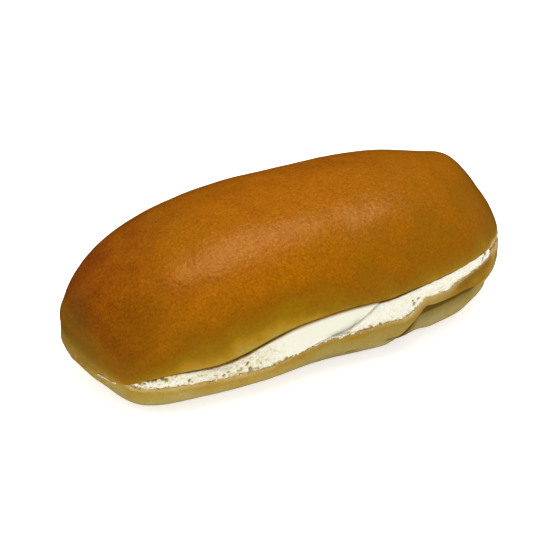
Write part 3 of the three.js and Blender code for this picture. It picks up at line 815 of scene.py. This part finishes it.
class BUN_OT_make_cream(Operator):
    """Make the cream: rough and pitted, with one smooth tongue spread over the middle"""
    bl_idname = "bun.make_cream"
    bl_label = "Make cream"

    FRONT = range(6, 14)  # the points of a section from just under the upper lip to over the lower one

    def execute(self, context):
        cream = context.scene.bun_cream
        piece = smooth_piece(self.cage(cream), "bun_cream")
        mesh = piece.data
        fronts, downs = stored(mesh, "front"), stored(mesh, "down")
        hollow, under, shade, rough, crumby, moved = [], [], [], [], [], []
        for vertex, front, down in zip(mesh.vertices, fronts, downs):
            p = vertex.co / MM
            tongue, past = tongue_share(p.x, down)
            free = 1 - tongue
            lump = ripple(p, 3.4) + 0.75 * ripple(p, 1.7, 2.3) + 0.5 * ripple(p, 0.9, 5.1)
            out = cream.lump / MM * lump * free * (1 - 0.5 * bell(down, 0.12))
            out += cream.tongue / MM * tongue + 0.08 * ripple(p, 7, 1.4) * tongue
            rolled = 1 - ramp(p.x, 10, 15)
            groove = bell(past - 0.04, 0.055) * ramp(p.x, -9, -5) * (1 - ramp(p.x, 20, 23))
            turned = ramp(past, -0.34, 0.0) * (1 - ramp(past, 0.0, 0.05)) * ramp(p.x, -2, 3) * rolled
            out -= mix(0.5, 0.9, rolled) * groove + 0.5 * turned
            sunk = 0.0
            for x, place, radius in HOLES:
                low, high = mouth(x)
                gap = math.hypot(p.x - x, (down - place) * (high.z - low.z))
                if gap < 1.8 * radius:
                    gap *= 1 + 0.6 * ripple(p, 1.0, 9.3)
                    sunk = max(sunk, 1 - ramp(gap / radius, 0.3, 1.1))
            out -= 0.8 * sunk
            ragged = 0.3 * ripple(p, 3.0, 6.2) + 0.15 * ripple(p, 1.2, 8.8) + 0.05
            drop = ragged * ramp(down, 0.7, 1.0) * free * front
            moved.append(p + (vertex.normal * out - Vector((0, 0.25 * drop, drop))) * front)
            kept = self.shadow(p.x)
            hollow.append(sunk * front)
            # Painted shade on the cream's top edge under the upper lip, weaker at the far left.
            painted_lip_shade = mix(0.4, 1.0, ramp(p.x, -60, -48))
            under.append(painted_lip_shade * (1 - ramp(down, 0.07 * kept, 0.06 + 0.10 * kept)))
            shade.append(max(mix(0.35, 0.55, rolled) * groove, 0.5 * turned))
            rough.append(free)
            smeared = mix(0.25 + 0.3 * ramp(down, 0.6, 1.0), ramp(down, 0.0, 0.35), ramp(-p.x, 14, 26))
            clean = ramp(down, 0.35, 0.8) * (1 - ramp(-p.x, 61, 67))
            crumby.append(free * mix(smeared, 0.9 * (1 - clean), ramp(-p.x, 44, 56)))
        for vertex, p in zip(mesh.vertices, moved):
            vertex.co = p * MM
        store(mesh, "hollow", hollow)
        store(mesh, "under", under)
        store(mesh, "shade", shade)
        store(mesh, "rough", rough)
        store(mesh, "crumby", crumby)
        finish_piece(piece, whipped_cream(cream), "cream", "cream")
        return {"FINISHED"}

    @staticmethod
    def shadow(x):
        """Where along the roll the cream stays back under the upper lip."""
        return ramp(x, -54, -40) * mix(1.0, 0.3, ramp(x, -34, -20)) * (1 - ramp(x, 18, 26))

    def cage(self, cream):
        """The solid's sections with their front spread from lip to lip, marked with how far down it lies."""
        bm = sections_of("cream")
        front = bm.verts.layers.float.new("front")
        down = bm.verts.layers.float.new("down")
        crease = bm.edges.layers.float.new("crease_edge")
        rings = rings_of(bm)
        for ring in rings:
            x = ring[0].co.x / MM
            low, high = mouth(x)
            shadow = self.shadow(x)
            back = 3.0 * ramp(-x, 68.6, 71.2)
            top = Vector((x, high.y - 0.7 + 1.1 * shadow + back, high.z + 0.6 - 1.3 * shadow))
            foot = Vector((x, low.y - 0.85 + back, low.z - 0.3))
            facing = Vector((0, foot.z - top.z, top.y - foot.y)).normalized()
            bulge = min(cream.bulge / MM, 0.14 * (top - foot).length)
            for i, vertex in enumerate(ring):
                share = (i - self.FRONT[0]) / (len(self.FRONT) - 1)
                vertex[down] = min(1.0, max(0.0, share))
                if i in self.FRONT:
                    vertex[front] = 1.0
                    swell = facing * bulge * math.sin(math.pi * share)
                    vertex.co = (top.lerp(foot, share) + swell) * MM
        edge = {ring[self.FRONT[-1]] for ring in rings}
        for e in bm.edges:
            if e.verts[0] in edge and e.verts[1] in edge:
                e[crease] = 0.8
        bmesh.ops.subdivide_edges(bm, edges=[e for e in bm.edges if runs_along(e)], cuts=2)
        return bm


def surface_at(trees, place, direction):
    """The first point that a ray meets on several surfaces, and the outward normal there."""
    hits = [tree.ray_cast(place * MM, direction) for tree in trees]
    hits = [hit for hit in hits if hit[0] is not None]
    if not hits:
        return None
    point, normal, _, _ = min(hits, key=lambda hit: hit[3])
    return point, normal


class BUN_OT_make_crumbs(Operator):
    """Make the loose bits: crumbs of torn bread along the lower lip, and beads of cream"""
    bl_idname = "bun.make_crumbs"
    bl_label = "Make crumbs"

    FROM_ABOVE = Vector((0.30, 0.70, -0.64))  # down on the near side, past the left end
    PLEATS = (Vector((68.8, -26.6, 28.3)), Vector((76.5, -18.4, 27.5)))  # along the slit's closed right end
    SMEAR = (Vector((-75.9, -15.4, 11.5)), Vector((-72.6, -23.1, 12.9)))  # along the left end's near corner

    # Where crumbs lie thicker along the lip: x, spread and number.
    CLUSTERS = (
        (-70.3, 1.4, 40), (-66.5, 2.2, 24), (-62, 4, 14), (-37, 5, 16), (-25, 4, 10), (36, 3, 12), (18, 4, 8))

    def execute(self, context):
        crumbs = context.scene.bun_crumbs
        graph = context.evaluated_depsgraph_get()
        trees = [BVHTree.FromObject(bpy.data.objects[name], graph) for name in ("bun_bread", "bun_cream")]
        draw = random.Random(SEED)
        bm = bmesh.new()
        places = [draw.uniform(-70, 68) for _ in range(crumbs.number)]
        for middle, spread, number in self.CLUSTERS:
            places += [draw.gauss(middle, spread) for _ in range(number)]
        for x in places:
            height = mouth(x)[0].z + draw.gauss(-0.2, 0.5)
            self.drop(bm, draw, trees, Vector((x, -60, height)), crumbs.size * draw.uniform(0.4, 1.1))
        for i in range(crumbs.pleats):
            place = self.PLEATS[0].lerp(self.PLEATS[1], i / (crumbs.pleats - 1))
            place.z += draw.gauss(0, 0.7)
            point, normal, _, _ = trees[0].find_nearest(place * MM)
            self.put(bm, draw, point, -normal, draw.uniform(0.5, 0.9) * MM)
        scattered_piece(bm, "bun_crumbs", loose_crumb(crumbs), "bread")

        bm = bmesh.new()
        for i in range(crumbs.beads):
            x = mix(-0.5, 10.8, (i + draw.random()) / crumbs.beads)
            height = mouth(x)[0].z + draw.gauss(-0.1, 0.25)
            self.drop(bm, draw, trees, Vector((x, -60, height)), draw.uniform(0.6, 1.2) * MM)
        for i in range(crumbs.smear):
            place = self.SMEAR[0].lerp(self.SMEAR[1], i / (crumbs.smear - 1))
            point, normal = surface_at(trees, place - 40 * self.FROM_ABOVE, self.FROM_ABOVE)
            self.put(bm, draw, point, normal, draw.uniform(0.7, 1.0) * MM)
        scattered_piece(bm, "bun_cream_beads", bpy.data.objects["bun_cream"].data.materials[0], "cream")
        return {"FINISHED"}

    def drop(self, bm, draw, trees, start, size):
        """Adds one knobbly bit where a ray from the near side lands."""
        hit = surface_at(trees, start, Vector((0, 1, 0)))
        if hit is not None:
            self.put(bm, draw, *hit, size)

    @staticmethod
    def put(bm, draw, point, normal, size):
        """Adds one knobbly bit, pressed a little into what it lies on."""
        turn = Euler([draw.uniform(0, math.tau) for _ in range(3)]).to_matrix().to_4x4()
        stretch = Matrix.Diagonal([size / 2 * draw.uniform(0.6, 1.25) for _ in range(3)] + [1])
        where = Matrix.Translation(point + normal * size * 0.15)
        made = bmesh.ops.create_icosphere(bm, subdivisions=1, radius=1.0, matrix=where @ turn @ stretch)
        for vertex in made["verts"]:
            vertex.co += Vector([draw.uniform(-1, 1) for _ in range(3)]) * size * 0.1


class BUN_OT_make_stage(Operator):
    """Make the stage: a plain white floor, soft light from above and the camera"""
    bl_idname = "bun.make_stage"
    bl_label = "Make stage"

    FLOOR_REACH = 3.0  # metres from the middle to an edge
    LIT_FROM = Vector((0.10, -0.01, 0.98)).normalized()

    def execute(self, context):
        scene = context.scene
        stage = scene.bun_stage
        bm = bmesh.new()
        bmesh.ops.create_grid(bm, x_segments=4, y_segments=4, size=self.FLOOR_REACH)
        mesh = bpy.data.meshes.new("floor")
        bm.to_mesh(mesh)
        bm.free()
        mesh.materials.append(plain_floor(stage))
        floor = bpy.data.objects.new("floor", mesh)
        scene.collection.objects.link(floor)
        floor.visible_glossy = False

        world = bpy.data.worlds.new("even_light")
        world.use_nodes = True
        world.node_tree.nodes.clear()
        sky = add(world.node_tree, "ShaderNodeBackground", {"Color": (1, 1, 1, 1), "Strength": stage.sky})
        add(world.node_tree, "ShaderNodeOutputWorld", {"Surface": sky.outputs["Background"]})
        world.cycles_visibility.glossy = False
        scene.world = world

        light = bpy.data.lights.new("softbox", "AREA")
        light.shape = "RECTANGLE"
        light.size = stage.width
        light.size_y = stage.depth
        light.energy = stage.softbox
        softbox = bpy.data.objects.new("softbox", light)
        above = self.LIT_FROM
        sideways = above.cross(Vector((-math.sin(stage.turn), math.cos(stage.turn), 0))).normalized()
        axes = Matrix((-sideways, sideways.cross(above), above)).transposed()
        softbox.location = Vector((0, 0, 0.03)) + above * stage.height
        softbox.rotation_euler = axes.to_euler()
        scene.collection.objects.link(softbox)

        lens = bpy.data.cameras.new("camera")
        lens.lens = stage.lens
        lens.sensor_width = 36.0
        camera = bpy.data.objects.new("camera", lens)
        across = math.cos(stage.elevation)
        back = Vector((
            math.sin(stage.azimuth) * across, -math.cos(stage.azimuth) * across, math.sin(stage.elevation)))
        camera.location = Vector(stage.aim) + back * stage.distance
        camera.rotation_euler = back.to_track_quat("Z", "Y").to_euler()
        scene.collection.objects.link(camera)
        scene.camera = camera
        scene.view_settings.view_transform = "Standard"
        return {"FINISHED"}


class BUN_PT_panel(Panel):
    """The bun's settings and the buttons that make its pieces"""
    bl_idname = "BUN_PT_panel"
    bl_label = "Cream bun"
    bl_space_type = "VIEW_3D"
    bl_region_type = "UI"
    bl_category = "Cream bun"

    def draw(self, context):
        scene = context.scene
        for operator, settings in (
                ("bun.make_bread", scene.bun_crust), ("bun.make_cream", scene.bun_cream),
                ("bun.make_crumbs", scene.bun_crumbs), ("bun.make_stage", scene.bun_stage)):
            box = self.layout.box()
            box.operator(operator)
            for name in settings.__annotations__:
                box.prop(settings, name)


SETTINGS = {
    "bun_crust": CrustSettings,
    "bun_cream": CreamSettings,
    "bun_crumbs": CrumbSettings,
    "bun_stage": StageSettings,
}
CLASSES = (
    *SETTINGS.values(), BUN_OT_make_bread, BUN_OT_make_cream, BUN_OT_make_crumbs, BUN_OT_make_stage,
    BUN_PT_panel)


def register():
    for made in CLASSES:
        bpy.utils.register_class(made)
    for name, settings in SETTINGS.items():
        setattr(bpy.types.Scene, name, PointerProperty(type=settings))


def unregister():
    for name in SETTINGS:
        delattr(bpy.types.Scene, name)
    for made in reversed(CLASSES):
        bpy.utils.unregister_class(made)


def main():
    register()
    bpy.ops.bun.make_bread()
    bpy.ops.bun.make_cream()
    bpy.ops.bun.make_crumbs()
    bpy.ops.bun.make_stage()


if __name__ == "__main__":
    main()
